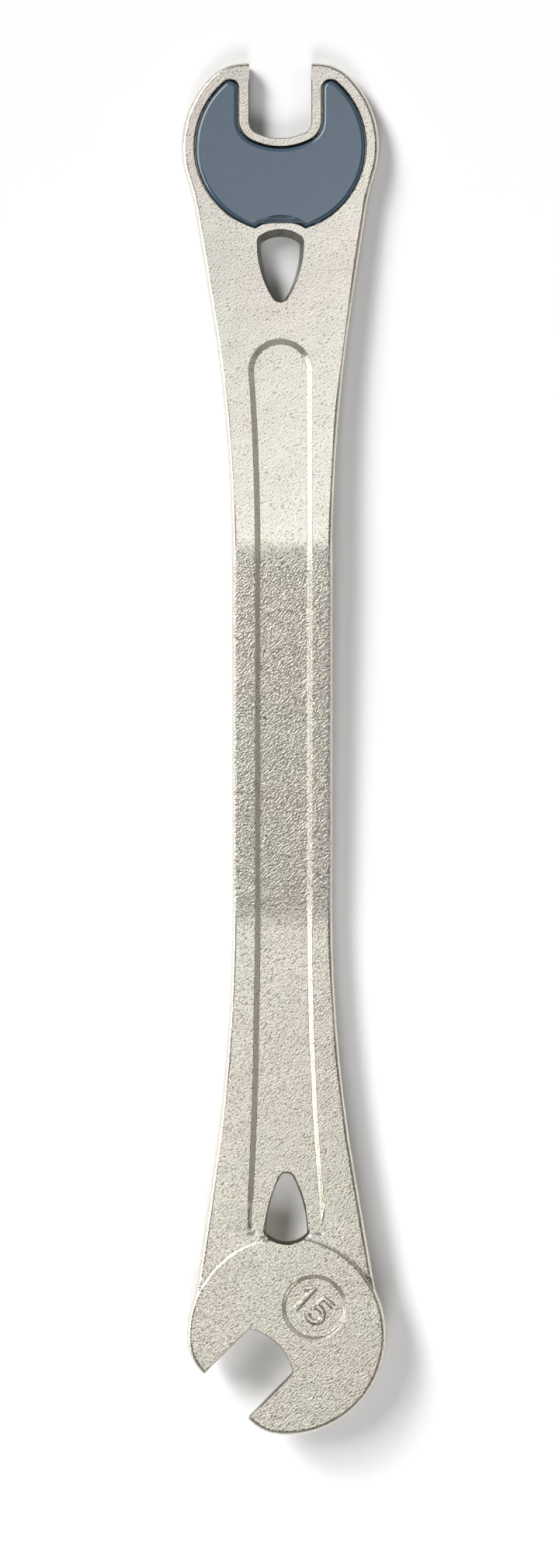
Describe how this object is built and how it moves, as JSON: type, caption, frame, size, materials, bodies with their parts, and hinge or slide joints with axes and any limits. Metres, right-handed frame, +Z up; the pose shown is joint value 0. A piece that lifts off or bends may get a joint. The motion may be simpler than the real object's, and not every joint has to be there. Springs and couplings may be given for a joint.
{
  "type": "pedal wrench",
  "caption": "Long flat forged pedal wrench with an inlaid straight jaw at one end and a 45 degree jaw at the other, channelled shank and hanging holes.",
  "frame": {"origin": "centre of the overall box, at the level of the table the wrench lies on", "axes": "+Y along the shank towards the straight jaw's mouth, +Z up, out of the face with the inlay"},
  "size_m": [0.05, 0.3338, 0.0144],
  "materials": {
    "plated_steel": "satin plating over a shot-blasted forging",
    "blue_plastic": "smooth slate blue plastic"
  },
  "bodies": {
    "root": {"forged_body": "plated_steel", "head_inlay": "blue_plastic"}
  },
  "joints": []
}
